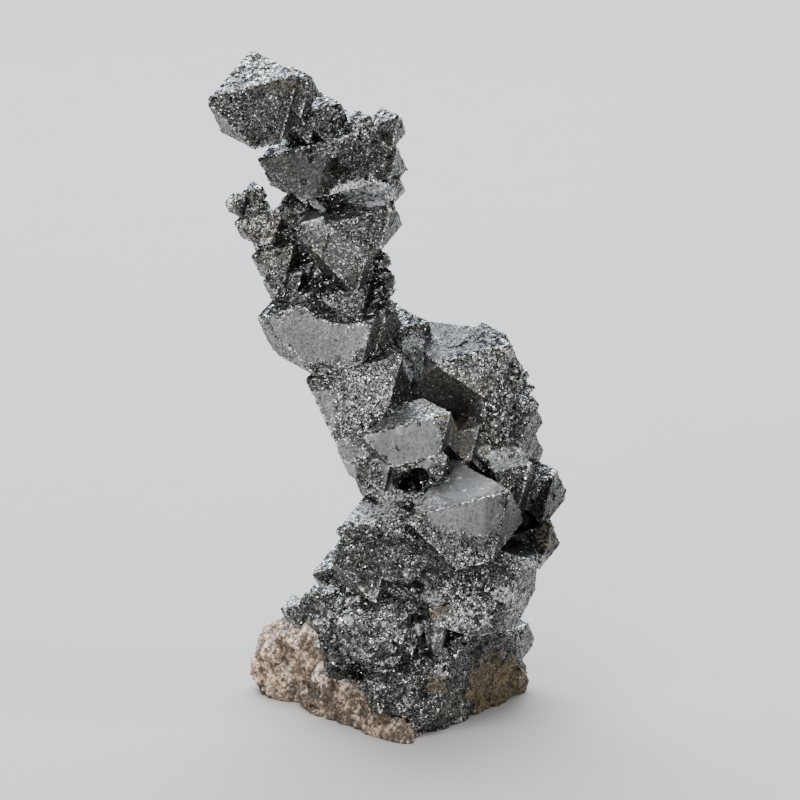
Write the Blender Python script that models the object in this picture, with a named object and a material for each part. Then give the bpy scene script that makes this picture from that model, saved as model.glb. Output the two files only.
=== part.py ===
"""Hematite pseudomorph after magnetite: a leaning column of octahedra grown together, on a wedge of rock.

All the crystals share one growth direction, except one turned crystal low on the right. Sizes are in
millimetres and are scaled to metres when the meshes are made. The base is flat, at z = 0.
"""
import math
import random

import bmesh
import bpy
from mathutils import Euler, Matrix, Vector, noise

MM = 0.001
GAP = 0.3                 # between the crystals and the rock
WELD = 0.000005           # merge distance of the finished meshes, metres
SIGHT = math.radians(15)  # the corners below are sighted from this height above the horizontal
BLOCK = 60.0              # the block that a crystal is cut from
ROUNDING = 14             # how sharp a boulder's edges stay, a power
ROCK_ROUGH = 0.5          # height of the rock's bumps
LUMP_ROUGH = 0.26         # how uneven a druse mass is, as a share of its width
DRUSE = 1.05              # centre to corner of a small crystal on a druse mass
CRUMB = 12                # corners of the largest loose crumb that may be dropped

# The crystals' common lattice: its columns are the three axes that end in an octahedron's corners.
LATTICE = Euler((math.radians(40.8), math.radians(-14.8), math.radians(-147.4))).to_matrix()

# The eight faces of an octahedron, by their signs on the lattice's axes.
FACES = {
    "roof": (1, 1, 1), "front": (1, 1, -1), "left": (1, -1, -1), "right": (-1, 1, -1),
    "roof_left": (1, -1, 1), "roof_right": (-1, 1, 1), "back": (-1, -1, 1), "sole": (-1, -1, -1),
}


def crystal(corner, ridge, drop=None, run=None, turn=0.0, tip=0.0, facets=(), **trims):
    """One octahedron, by the left end of the ridge where its roof meets its front.

    drop is the front's height below the ridge and run the roof's depth behind it; an untouched crystal
    has both at sqrt(3)/2 of the ridge. turn and tip lean it out of the common lattice. A facet is one
    more flat face, and a trim moves a named face outwards.
    """
    return dict(corner=corner, ridge=ridge, drop=drop, run=run, turn=turn, tip=tip, facets=facets, trims=trims)


# Corners are (across, height as sighted, toward the front).
TOP = (
    crystal((-23.2, 76.0, 8.5), 11.3, drop=7.7, run=9.4, left=0.7),
    crystal((-15.9, 77.2, 7.7), 5.4),
    crystal((-12.5, 74.1, 4.0), 5.5),
    crystal((-13.6, 72.9, 4.5), 3.5),
)
SECOND = (
    crystal((-17.4, 68.6, 4.1), 17.4, drop=6.6, run=10.6, roof_right=-1.5),
    crystal((-4.3, 72.7, 4.6), 4.5),
    crystal((-7.0, 72.9, 3.9), 3.6),
    crystal((-6.0, 68.4, 4.4), 6.0),
    crystal((-3.2, 65.4, 3.6), 3.4),
)
THIRD = (
    crystal((-12.9, 59.5, 7.0), 10.7, run=2.8),
    crystal((-12.9, 59.6, 7.3), 4.6),
    crystal((-11.1, 60.0, 6.6), 11.2, drop=5.0, right=-0.6),
    crystal((-11.0, 57.9, 5.0), 7.6),
    crystal((-10.5, 57.0, 1.5), 7.0),
    crystal((-15.5, 62.6, 2.4), 4.5),
    crystal((-14.0, 61.2, 3.2), 4.6),
    crystal((-12.6, 60.7, 6.8), 3.4, drop=1.6, run=2.4),
)
BRANCH = (
    crystal((-21.6, 63.5, 0.6), 2.7),
    crystal((-20.3, 62.6, 0.2), 4.2),
    crystal((-19.4, 64.7, 0.0), 2.7),
    crystal((-20.4, 60.9, 2.2), 6.2, drop=3.6, roof_right=-0.5),
    crystal((-18.4, 56.8, 2.6), 5.6),
    crystal((-16.0, 60.0, -0.5), 5.0),
    crystal((-17.0, 53.8, 2.2), 5.2),
    crystal((-16.5, 54.6, 0.0), 6.0),
)
SADDLE = (
    crystal((-10.0, 51.8, 4.4), 6.5),
    crystal((-9.9, 53.6, 2.0), 8.0),
    crystal((-8.8, 49.6, 3.2), 8.0),
)
FOURTH = (
    crystal((-17.6, 49.2, 6.0), 16.0, drop=9.0, run=8.0),
)
FIFTH = (
    crystal((-11.8, 41.5, 5.2), 12.6, drop=11.4, run=6.0, left=5.0,
            facets=(((-11.8, 41.9, 5.2), (-0.90, -0.43, 0.0)),)),
    crystal((-4.8, 34.7, 9.6), 11.4, drop=4.95, run=5.5),
    crystal((-7.8, 32.9, 5.6), 8.0, drop=6.5),
)
SIXTH = (
    crystal((0.5, 24.6, 11.6), 13.6, drop=8.0),
    crystal((-7.9, 23.0, 9.4), 9.4, drop=5.2, run=6.5),
    crystal((-8.6, 19.4, 9.0), 7.8),
)
SHOULDER = (
    crystal((-5.2, 46.6, -5.6), 9.0, run=6.6),
    crystal((-0.5, 42.4, 1.0), 14.8, run=16.0, roof_left=7.4,
            facets=(((4.6, 43.4, 1.4), (-0.923, 0.0, 0.385)), ((4.6, 43.4, 1.4), (-0.466, -0.76, 0.454)),
                    ((-1.2, 49.9, -12.8), (0.46, 0.736, -0.5)))),
    crystal((7.6, 45.8, -2.4), 5.8),
    crystal((9.75, 37.4, 1.8), 7.0),
    crystal((8.4, 33.4, 1.0), 9.0, right=-1.0),
    crystal((4.9, 34.6, 1.6), 5.2, run=1.6),
    crystal((8.5, 29.4, 3.5), 8.0, facets=(((11.1, 32.0, 2.5), (-0.927, -0.211, 0.311)),)),
    crystal((13.0, 28.1, 1.5), 7.5, right=-1.0),
    crystal((13.1, 22.2, 2.0), 6.0),
)
TURNED = (
    crystal((1.2, 23.9, 5.5), 18.0, drop=11.2, run=9.0, turn=-33.0, tip=12.0,
            facets=(((17.0, 13.6, 0.0), (0.85, -0.41, 0.33)),)),
)
FOOT_CRYSTALS = (
    crystal((-11.7, 18.2, 3.0), 4.0, run=0.9, left=0.8),
    crystal((-15.0, 13.1, 1.5), 3.6),
    crystal((-11.5, 12.1, 2.5), 2.6),
    crystal((-7.1, 12.6, 5.5), 2.2),
    crystal((3.1, 3.6, 9.4), 2.6),
    crystal((12.8, 4.7, -4.5), 2.8),
    crystal((11.0, 9.2, -8.5), 6.0, right=-1.0),
    crystal((5.5, 14.5, 1.0), 8.0),
    crystal((-11.0, 17.5, -4.0), 12.0),
    crystal((0.0, 20.0, -4.0), 13.0),
    crystal((3.0, 11.0, -7.0), 9.0),
    crystal((-13.0, 9.0, -9.0), 9.0),
    crystal((-6.0, 6.0, -11.0), 10.0),
)
# Crystals behind the column, which close it where the front ones only touch.
SPINE = (
    crystal((-14.5, 72.0, 1.9), 7.6),
    crystal((-12.1, 65.5, 0.3), 9.0),
    crystal((-11.0, 60.5, -0.5), 8.0),
    crystal((-14.5, 55.5, -0.3), 10.0),
    crystal((-13.2, 46.9, 3.0), 11.0),
    crystal((-8.2, 36.2, 3.0), 10.0),
    crystal((-5.7, 29.4, 5.4), 12.0),
    crystal((-3.1, 22.7, 5.2), 14.0),
    crystal((-3.2, 40.0, -6.5), 12.0),
    crystal((0.5, 32.0, -2.0), 10.0),
    crystal((5.5, 34.9, -0.3), 10.0),
    crystal((5.6, 25.0, 0.4), 12.0),
    crystal((-18.2, 58.3, -1.0), 5.5),
)

# The foot: a block with its corners at (across, toward, height), widest at the back.
FOOT = (
    (1.5, 11.0, -2.0), (5.0, 6.0, -2.0), (11.0, -1.8, -2.0), (15.8, -9.5, -2.0), (14.0, -13.0, -2.0),
    (8.0, -14.5, -2.0), (-6.0, -14.0, -2.0), (-12.0, -11.0, -2.0), (-11.0, -6.0, -2.0), (-4.0, 3.0, -2.0),
    (16.2, -9.5, 1.2), (14.8, -4.0, 8.7), (8.0, 7.5, 12.2), (1.0, 10.0, 8.0), (-7.0, 2.0, 12.0),
    (-10.0, -8.0, 12.0), (12.0, -12.0, 16.0), (0.0, -13.0, 18.0),
)
# Rounded druse masses: centre (across, height as sighted, toward), half widths and how many small crystals.
MASSES = (
    ((-2.3, 10.6, 6.5), (5.4, 4.5, 4.9), 20),
    ((-6.2, 7.9, 1.5), (4.0, 4.0, 4.0), 14),
    ((-0.6, 2.9, 8.0), (4.0, 4.0, 4.0), 16),
    ((-8.8, 12.9, 1.0), (3.2, 3.0, 3.0), 12),
    ((1.3, 20.1, 7.9), (9.3, 4.6, 3.3), 30),
    ((12.5, 38.0, -1.8), (3.8, 4.6, 6.4), 24),
    ((4.4, 10.4, 8.4), (1.3, 1.9, 3.3), 0),
    ((0.9, 14.6, 4.6), (3.4, 3.2, 3.8), 8),
    ((-4.4, 52.4, 2.6), (3.4, 3.6, 4.6), 8),
)
# The rock, as blocks with their corners at (across, toward, height), rounded and roughened.
ROCK = (
    ((-16.5, -7.0, -2.5), (-11.5, -3.8, -2.5), (-19.3, -9.5, 4.2), (-17.6, -7.6, 7.0), (-16.4, -9.5, 8.9),
     (-12.4, -8.0, 9.8), (-9.8, -4.0, 9.0), (-8.4, -2.6, 6.0), (-8.0, -3.0, -2.5), (-16.5, -14.0, -2.5),
     (-18.0, -13.5, 6.0), (-10.0, -14.5, -2.5), (-10.0, -14.0, 8.0)),
    ((-13.2, -4.0, -2.5), (-13.0, -4.0, 5.0), (-7.6, 3.5, -2.5), (-2.6, 11.2, -2.5), (0.8, 14.0, -2.5),
     (1.0, 13.6, 2.0), (-2.0, 10.8, 3.2), (-2.6, 7.4, 4.4), (-4.2, 5.3, 5.0), (-7.2, 1.9, 5.2),
     (-8.8, -1.2, 7.2), (-6.0, -3.0, -2.5), (2.5, 9.0, -2.5), (2.0, 9.0, 1.5), (-4.0, 0.0, 5.5)),
)
# Hollows cut out of the finished crystals: centre and half widths, in the same terms.
HOLLOWS = (
    ((-6.6, 53.4, 6.7), (6.4, 5.4, 5.2)),
    ((1.2, 28.3, 7.0), (1.5, 5.0, 1.0)),
    ((2.3, 29.3, 7.0), (1.3, 5.0, 1.2)),
)


def place(corner):
    """World place, in millimetres, of a sighted point."""
    across, up, toward = corner
    return Vector((across, -toward, up / math.cos(SIGHT) + toward * math.tan(SIGHT)))


def sighted(direction):
    """World direction of one given as right, up and toward, square to the line of sight."""
    right, up, toward = direction
    return Vector((right, up * math.sin(SIGHT) - toward * math.cos(SIGHT),
                   up * math.cos(SIGHT) + toward * math.sin(SIGHT))).normalized()


def crystal_faces(shape):
    """(point, normal) of each face of a crystal, in millimetres."""
    turn = Matrix.Rotation(math.radians(shape["turn"]), 3, sighted((0, 0, 1)))
    tip = Matrix.Rotation(math.radians(-shape["tip"]), 3, "X")
    lattice = tip @ turn @ LATTICE
    normals = {name: (lattice @ Vector(signs)).normalized() for name, signs in FACES.items()}
    along = (lattice.col[1] - lattice.col[0]).normalized()
    down = normals["front"].cross(along).normalized()
    down = down if down.dot(normals["roof"]) < 0 else -down
    behind = normals["roof"].cross(along).normalized()
    behind = behind if behind.dot(normals["front"]) < 0 else -behind
    full = shape["ridge"] * math.sqrt(3) / 2
    start = place(shape["corner"])
    end = start + along * shape["ridge"]
    points = {name: start for name in ("roof", "front", "left", "roof_left")}
    points.update({name: end for name in ("right", "roof_right")})
    points["sole"] = start + down * (shape["drop"] or full)
    points["back"] = start + behind * (shape["run"] or full)
    faces = [(points[name] + normal * shape["trims"].get(name, 0.0), normal) for name, normal in normals.items()]
    faces += [(place(point), sighted(normal)) for point, normal in shape["facets"]]
    return faces


def new_object(name, mesh_data, collection):
    """Puts a bmesh into a new object."""
    mesh = bpy.data.meshes.new(name)
    mesh_data.to_mesh(mesh)
    mesh_data.free()
    obj = bpy.data.objects.new(name, mesh)
    collection.objects.link(obj)
    return obj


def cut_block(faces):
    """A block cut down to the space behind every face."""
    bm = bmesh.new()
    bmesh.ops.create_cube(bm, size=BLOCK * MM)
    middle = sum((point for point, _ in faces), Vector()) / len(faces)
    bmesh.ops.translate(bm, vec=middle * MM, verts=bm.verts)
    for point, normal in faces:
        geometry = bm.verts[:] + bm.edges[:] + bm.faces[:]
        cut = bmesh.ops.bisect_plane(bm, geom=geometry, dist=WELD, plane_co=point * MM, plane_no=normal,
                                     clear_outer=True)
        rim = [item for item in cut["geom_cut"] if isinstance(item, bmesh.types.BMEdge)]
        if rim:
            bmesh.ops.contextual_create(bm, geom=rim)
    bmesh.ops.remove_doubles(bm, verts=bm.verts, dist=WELD)
    bmesh.ops.dissolve_degenerate(bm, edges=bm.edges, dist=WELD)
    bmesh.ops.recalc_face_normals(bm, faces=bm.faces)
    return bm


def hull_block(corners):
    """The flat-faced block round a set of corners."""
    bm = bmesh.new()
    for across, toward, height in corners:
        bm.verts.new((across * MM, -toward * MM, height * MM))
    made = bmesh.ops.convex_hull(bm, input=bm.verts)
    loose = [item for item in made["geom_interior"] if isinstance(item, bmesh.types.BMVert)]
    bmesh.ops.delete(bm, geom=loose, context="VERTS")
    bmesh.ops.recalc_face_normals(bm, faces=bm.faces)
    return bm


def boulder(corners, grown, seed):
    """A block round a set of corners with its edges rounded and its faces roughened by smooth noise."""
    hull = hull_block(corners)
    middle = sum((vert.co for vert in hull.verts), Vector()) / len(hull.verts)
    faces = [(face.normal.copy(), face.normal.dot(face.calc_center_median() - middle)) for face in hull.faces]
    hull.free()
    bm = bmesh.new()
    bmesh.ops.create_icosphere(bm, subdivisions=4, radius=1.0)
    for vert in bm.verts:
        direction = vert.co.normalized()
        reach = [distance / normal.dot(direction) for normal, distance in faces if normal.dot(direction) > 0]
        radius = sum(r ** -ROUNDING for r in reach) ** (-1 / ROUNDING)
        place_on = direction * radius / MM
        wave = noise.noise(place_on * 0.45 + Vector((seed, 0, 0))) + 0.6 * noise.noise(place_on * 1.1)
        vert.co = middle + direction * (radius + (wave * ROCK_ROUGH + grown) * MM)
    return bm


def lump(centre, halves, subdivisions, rough, grown=0.0, seed=0.0):
    """A rounded lump: a stretched ball with its surface pushed in and out by smooth noise."""
    bm = bmesh.new()
    bmesh.ops.create_icosphere(bm, subdivisions=subdivisions, radius=1.0)
    middle = place(centre)
    for vert in bm.verts:
        direction = vert.co.normalized()
        wave = noise.noise(direction * 2.1 + Vector((seed, 0, 0))) + 0.5 * noise.noise(direction * 4.7)
        stretched = Vector(direction[i] * halves[i] for i in range(3))
        vert.co = (middle + stretched * (1 + rough * wave) + direction * grown) * MM
    return bm


def druse(centre, halves, count, size, seed):
    """Small crystals of the common lattice, scattered over the viewer's half of a lump."""
    draw = random.Random(seed)
    made = []
    for _ in range(count):
        angle = draw.uniform(0, 2 * math.pi)
        height = draw.uniform(-0.7, 0.95)
        ring = math.sqrt(1 - height * height)
        spot = Vector((math.cos(angle) * ring * halves[0], math.sin(angle) * ring * halves[1], height * halves[2]))
        bm = bmesh.new()
        bmesh.ops.create_uvsphere(bm, u_segments=4, v_segments=2, radius=1.0)
        radius = size * draw.uniform(0.7, 1.3)
        tilt = Euler([draw.uniform(-0.25, 0.25) for _ in range(3)]).to_matrix()
        matrix = tilt @ LATTICE @ Matrix.Rotation(math.pi / 4, 3, "Z")
        for vert in bm.verts:
            vert.co = (place(centre) + spot + matrix @ vert.co * radius) * MM
        made.append(bm)
    return made


def collection_named(name):
    """A new collection in the scene."""
    collection = bpy.data.collections.new(name)
    bpy.context.scene.collection.children.link(collection)
    return collection


def hidden(obj):
    """Marks a cutter or a seed of a union, which is not part of the object."""
    obj.hide_render = True
    obj.display_type = "WIRE"
    return obj


def combine(obj, operation, collection):
    """Adds a Boolean of an object with everything in a collection."""
    modifier = obj.modifiers.new(operation.title(), "BOOLEAN")
    modifier.operation = operation
    modifier.operand_type = "COLLECTION"
    modifier.collection = collection
    modifier.solver = "EXACT"
    modifier.use_self = True
    return modifier


def applied(obj):
    """Applies an object's modifiers and cleans the mesh."""
    graph = bpy.context.evaluated_depsgraph_get()
    mesh = bpy.data.meshes.new_from_object(obj.evaluated_get(graph))
    obj.modifiers.clear()
    bm = bmesh.new()
    bm.from_mesh(mesh)
    bmesh.ops.remove_doubles(bm, verts=bm.verts, dist=WELD)
    bmesh.ops.dissolve_degenerate(bm, edges=bm.edges, dist=WELD)
    bm.to_mesh(mesh)
    bm.free()
    obj.data = mesh


def main_body(obj):
    """Removes the crumbs that the cuts left loose; anything larger has to be joined to the main body."""
    bm = bmesh.new()
    bm.from_mesh(obj.data)
    left = set(bm.verts)
    groups = []
    while left:
        stack = [left.pop()]
        group = set(stack)
        while stack:
            for edge in stack.pop().link_edges:
                for vert in edge.verts:
                    if vert in left:
                        left.discard(vert)
                        group.add(vert)
                        stack.append(vert)
        groups.append(group)
    groups.sort(key=len)
    for group in groups[:-1]:
        if len(group) > CRUMB:
            raise ValueError(f"{obj.name} has a loose body of {len(group)} corners")
        bmesh.ops.delete(bm, geom=list(group), context="VERTS")
    bm.to_mesh(obj.data)
    bm.free()


def material(name, colour, roughness, metallic):
    """A plain Principled material."""
    made = bpy.data.materials.new(name)
    made.use_nodes = True
    shader = made.node_tree.nodes["Principled BSDF"]
    shader.inputs["Base Color"].default_value = (*colour, 1)
    shader.inputs["Roughness"].default_value = roughness
    shader.inputs["Metallic"].default_value = metallic
    made.diffuse_color = (*colour, 1)
    return made


def floor_cutter(name, collection):
    """A box with its top at z = 0."""
    bm = bmesh.new()
    bmesh.ops.create_cube(bm, size=2 * BLOCK * MM)
    bmesh.ops.translate(bm, vec=(0, 0, -BLOCK * MM), verts=bm.verts)
    return hidden(new_object(name, bm, collection))


def build_rock(pieces, seeds, cutters):
    """The wedge of rock under the crystals, cut flat at its base."""
    first, *rest = [boulder(corners, 0.0, i) for i, corners in enumerate(ROCK)]
    rock = new_object("rock_matrix", first, pieces)
    for i, bm in enumerate(rest):
        hidden(new_object(f"boulder_{i}", bm, seeds))
    combine(rock, "UNION", seeds)
    applied(rock)
    combine(rock, "DIFFERENCE", cutters)
    applied(rock)
    rock.data.materials.append(material("rock", (0.46, 0.37, 0.31), 0.85, 0.0))
    return rock


def build_crystals(pieces, seeds, hollows, cutters):
    """The crystals, their foot and druse, joined in one solid."""
    shapes = FOURTH + FIFTH + SIXTH + SHOULDER + TURNED + FOOT_CRYSTALS + SPINE
    blocks = [cut_block(crystal_faces(shape)) for shape in shapes]
    blocks.append(hull_block(FOOT))
    for i, (centre, halves, count) in enumerate(MASSES):
        blocks.append(lump(centre, halves, 2, LUMP_ROUGH, seed=20 + i))
        blocks += druse(centre, halves, count, DRUSE, seed=i)
    first, *rest = blocks
    column = new_object("hematite_crystals", first, pieces)
    for i, bm in enumerate(rest):
        hidden(new_object(f"crystal_{i:03d}", bm, seeds))
    combine(column, "UNION", seeds)
    applied(column)
    for i, (centre, halves) in enumerate(HOLLOWS):
        hidden(new_object(f"hollow_{i}", lump(centre, halves, 3, 0.0), hollows))
    combine(column, "DIFFERENCE", hollows)
    applied(column)
    return column


def main():
    for obj in list(bpy.data.objects):
        bpy.data.objects.remove(obj)
    pieces = collection_named("hematite_pseudomorph")
    rock_seeds = collection_named("rock_lumps")
    crystal_seeds = collection_named("crystal_blocks")
    upper_seeds = collection_named("upper_blocks")
    hollows = collection_named("hollows")
    cutters = collection_named("cutters")
    floor_cutter("floor", cutters)
    build_rock(pieces, rock_seeds, cutters)
    column = build_crystals(pieces, crystal_seeds, hollows, cutters)
    for i, shape in enumerate(TOP + SECOND + THIRD + BRANCH + SADDLE):
        hidden(new_object(f"upper_{i}", cut_block(crystal_faces(shape)), upper_seeds))
    combine(column, "UNION", upper_seeds)
    applied(column)
    for i, corners in enumerate(ROCK):
        hidden(new_object(f"rock_space_{i}", boulder(corners, GAP, i), cutters))
    combine(column, "DIFFERENCE", cutters)
    applied(column)
    main_body(column)
    column.data.materials.append(material("hematite", (0.20, 0.205, 0.22), 0.38, 0.85))
    print("triangles", [(o.name, sum(len(p.vertices) - 2 for p in o.data.polygons)) for o in pieces.objects])


main()
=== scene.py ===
"""Finishes a hematite pseudomorph after magnetite: a leaning column of octahedra on some rock.

The crystals' surface starts as the solid model's own skin, remeshed finely, and then takes its
smooth faces, growth steps, pits and drusy grains from formulas of the place. Small crystals and
rock grains are scattered over it. All of it follows the one lattice that the large crystals share.
"""
import math

import bmesh
import bpy
import numpy as np
from mathutils import Euler, Matrix, Vector


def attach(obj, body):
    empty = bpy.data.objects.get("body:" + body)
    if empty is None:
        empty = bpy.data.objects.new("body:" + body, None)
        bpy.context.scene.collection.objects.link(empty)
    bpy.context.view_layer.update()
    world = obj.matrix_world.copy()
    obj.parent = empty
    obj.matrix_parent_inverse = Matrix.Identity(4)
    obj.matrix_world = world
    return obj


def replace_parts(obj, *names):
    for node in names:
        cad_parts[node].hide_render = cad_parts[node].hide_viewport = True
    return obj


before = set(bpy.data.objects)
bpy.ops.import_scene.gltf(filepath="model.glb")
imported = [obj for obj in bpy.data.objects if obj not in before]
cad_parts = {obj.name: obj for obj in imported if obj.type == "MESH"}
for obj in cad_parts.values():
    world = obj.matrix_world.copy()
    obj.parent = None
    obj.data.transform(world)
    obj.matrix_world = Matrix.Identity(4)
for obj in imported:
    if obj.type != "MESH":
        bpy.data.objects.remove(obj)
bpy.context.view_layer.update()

bl_info = {
    "name": "Hematite specimen",
    "version": (1, 0, 0),
    "blender": (4, 5, 0),
    "location": "3D View > Sidebar > Specimen",
    "description": "Skins, druse, rock and studio for a hematite pseudomorph",
    "category": "Add Mesh",
}

MM = 0.001
SIGHT = math.radians(15)            # the viewer looks down at this angle
LATTICE_TURN = (math.radians(40.8), math.radians(-14.8), math.radians(-147.4))
LATTICE = np.array(Euler(LATTICE_TURN).to_matrix())
SIGNS = {
    "roof": (1, 1, 1), "front": (1, 1, -1), "left": (1, -1, -1), "right": (-1, 1, -1),
    "roof_left": (1, -1, 1), "roof_right": (-1, 1, 1), "back": (-1, -1, 1), "sole": (-1, -1, -1),
}
FACES = {name: LATTICE @ np.array(signs) / math.sqrt(3) for name, signs in SIGNS.items()}
# Rows: the viewer's right, up and toward the viewer.
VIEW = np.array([(1, 0, 0), (0, math.sin(SIGHT), math.cos(SIGHT)),
                 (0, -math.cos(SIGHT), math.sin(SIGHT))])
# One crystal low on the right is turned about the line of sight and tipped.
TURNED = np.array(Matrix.Rotation(math.radians(-12), 3, "X")
                  @ Matrix.Rotation(math.radians(-33), 3, Vector(VIEW[2])))
# Uneven growth gave a few crystals one more face: (right, up, toward the viewer).
UNEVEN = np.array([(-0.90, -0.43, 0.0), (-0.923, 0.0, 0.385), (-0.466, -0.76, 0.454),
                   (0.46, 0.736, -0.5), (-0.927, -0.211, 0.311), (0.85, -0.41, 0.33)])
UNEVEN /= np.linalg.norm(UNEVEN, axis=1)[:, None]
ALL_FACES = np.array([*FACES.values(), *(TURNED @ normal for normal in FACES.values()),
                      *(UNEVEN @ VIEW)])
# Cosines between a surface's normal and a crystal face's: at the first the surface begins to count
# as lying along the face, and from the second it does so fully. In a plane is a closer match.
ALONG_FACE = (0.93, 0.985)
IN_PLANE = (0.994, 0.9985)
# Widths in millimetres: knobs and waves of the rounded masses and the spacing of pits, and the
# rock's lobes, nubs and layers.
KNOB, WAVE, PIT_SPACING = 1.7, 3.4, 1.1
LOBE, NUB, LAYER = 1.5, 0.65, 3.2

# The tables of parts: the crystal face that a part keeps to, or None for any, its centre and its
# half widths as (across, up) in the viewer's plane in millimetres, and its amount.
# Smooth parts of the crystals.
SMOOTH = (
    ("front", (-10.8, 46.6), (6.8, 3.6), 0.92),
    (None, (-9.6, 37.6), (1.7, 3.6), 0.9),
    (None, (-6.9, 31.8), (1.6, 3.6), 0.9),
    ("front", (0.6, 33.9), (5.9, 3.5), 1.0),
    ("roof", (6.9, 28.9), (7.4, 3.6), 0.95),
    ("front", (8.4, 25.3), (5.4, 2.9), 0.95),
    (None, (-10.7, 61.8), (1.9, 1.2), 0.9),
    ("front", (-14.0, 67.0), (5.2, 3.6), 0.85),
    ("front", (-8.6, 56.6), (3.6, 3.6), 0.35),
    (None, (5.6, 40.0), (4.8, 3.6), 0.4),
    ("left", (2.4, 44.5), (2.6, 3.2), 0.8),
    ("roof", (4.4, 46.6), (5.4, 2.6), 0.45),
    (None, (8.8, 34.2), (3.0, 3.2), 0.7),
    (None, (14.6, 24.6), (2.0, 3.6), 0.55),
    (None, (-1.4, 27.9), (2.2, 1.6), 0.4),
    (None, (4.5, 10.3), (1.2, 2.8), 0.6),
    ("roof", (13.8, 31.9), (3.0, 1.5), 0.5),
    ("roof", (1.4, 36.2), (4.8, 2.0), 0.55),
)
# Iron-stained parts.
STAINED = (
    (None, (12.6, 3.4), (4.4, 4.2), 1.0),
    (None, (7.0, 1.2), (3.4, 2.2), 0.4),
    (None, (18.6, 21.8), (1.8, 2.0), 0.5),
    (None, (-15.5, 77.4), (4.5, 0.9), 0.5),
    (None, (-17.0, 60.6), (3.0, 1.6), 0.5),
    (None, (-15.6, 57.6), (3.0, 2.0), 0.45),
    (None, (4.9, 12.9), (1.3, 0.9), 0.8),
    (None, (4.3, 3.8), (1.7, 1.3), 0.7),
    (None, (-8.4, 56.4), (3.4, 3.2), 0.35),
    (None, (8.8, 34.4), (3.4, 3.4), 0.5),
    (None, (5.6, 40.0), (4.8, 3.8), 0.62),
    (None, (-1.8, 48.0), (1.8, 2.4), 0.4),
    (None, (-13.0, 67.0), (5.0, 3.6), 0.3),
    (None, (-3.4, 20.6), (3.4, 2.6), 0.3),
)
# Pale parts: dust on some, painted light on others.
DUST_AND_PAINTED_LIGHT = (
    (None, (-13.1, 14.3), (0.9, 0.7), 1.0),
    (None, (4.2, 14.9), (1.6, 1.2), 0.65),
    (None, (7.6, 12.3), (2.6, 1.5), 0.65),
    (None, (12.9, 15.0), (1.5, 1.0), 0.8),
    (None, (16.6, 19.0), (2.4, 0.9), 0.6),
    (None, (5.2, 7.5), (1.0, 1.6), 0.5),
    (None, (2.6, 11.0), (1.1, 4.2), 0.65),
    ("roof", (3.4, 26.6), (2.5, 2.0), 0.85),
    ("roof", (5.0, 28.6), (3.0, 2.2), 0.25),
    (None, (1.7, 44.3), (1.7, 2.8), 0.8),
    (None, (0.3, 27.1), (2.8, 1.0), 0.7),
    (None, (1.6, 46.9), (1.9, 1.2), 0.45),
    ("roof", (-3.4, 25.2), (3.8, 1.8), 0.75),
    (None, (-3.7, 64.5), (4.1, 1.7), 1.0),
    (None, (13.9, 32.0), (2.7, 1.3), 0.9),
    (None, (-8.1, 51.1), (4.6, 0.8), 0.5),
    ("roof", (1.4, 36.2), (4.4, 1.6), 0.3),
)
# Painted light on brighter parts and, with a minus, painted shade on duller parts.
PAINTED_LIGHT = (
    (None, (-12.6, 66.9), (5.2, 3.6), -0.72),
    ("front", (-3.4, 68.8), (4.8, 3.6), -0.55),
    (None, (-20.3, 71.9), (3.0, 1.8), -0.25),
    ("front", (-14.6, 73.6), (6.4, 4.2), -0.27),
    ("front", (-5.6, 59.6), (4.4, 4.4), -0.2),
    (None, (5.6, 40.0), (5.0, 4.0), 0.15),
    (None, (7.2, 34.4), (2.4, 2.9), -0.4),
    (None, (0.4, 27.6), (3.4, 2.2), -0.15),
    (None, (1.1, 29.1), (2.4, 1.4), -0.85),
    (None, (1.7, 44.8), (1.7, 2.6), 0.9),
    (None, (14.6, 24.4), (2.3, 3.9), -0.6),
    (None, (18.4, 24.4), (3.0, 5.6), -0.88),
    (None, (3.1, 10.7), (1.1, 3.8), -0.4),
    (None, (12.5, 4.1), (5.6, 4.6), -0.42),
    (None, (0.5, 5.2), (3.2, 2.2), -0.1),
    (None, (-6.0, 54.4), (1.8, 2.2), -0.2),
    (None, (16.0, 37.0), (3.0, 3.4), -0.2),
    (None, (11.8, 25.2), (1.6, 3.6), -0.3),
    ("roof", (6.0, 46.8), (8.0, 3.6), -0.73),
    ("roof", (7.0, 29.4), (7.6, 3.2), 2.0),
    ("roof", (-3.8, 64.8), (5.0, 2.2), 1.6),
    ("roof", (-8.0, 51.0), (6.0, 2.0), 1.7),
    ("roof", (-16.4, 79.4), (5.0, 2.4), 0.25),
    (None, (-0.6, 22.0), (6.0, 2.6), 0.12),
    ("roof", (-3.4, 25.2), (4.0, 2.0), 1.4),
    (None, (-14.8, 55.4), (2.6, 2.0), 0.3),
    (None, (9.6, 14.0), (5.6, 3.6), 0.3),
    ("front", (10.8, 24.6), (3.4, 3.0), -0.15),
    (None, (-17.0, 61.2), (2.6, 2.0), 0.3),
    ("roof", (18.2, 30.8), (2.6, 1.6), 1.2),
    ("roof", (13.8, 32.1), (3.0, 1.6), 1.0),
    ("front", (-3.4, 39.4), (5.2, 4.6), 0.6),
    (None, (-2.2, 10.6), (5.2, 5.4), 0.8),
    (None, (0.6, 15.6), (3.6, 1.8), 0.9),
    (None, (-10.0, 13.6), (3.8, 3.4), 0.45),
    ("roof", (-9.0, 16.2), (2.6, 1.8), -0.6),
    (None, (-9.6, 60.6), (2.0, 1.4), 0.5),
)
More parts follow.
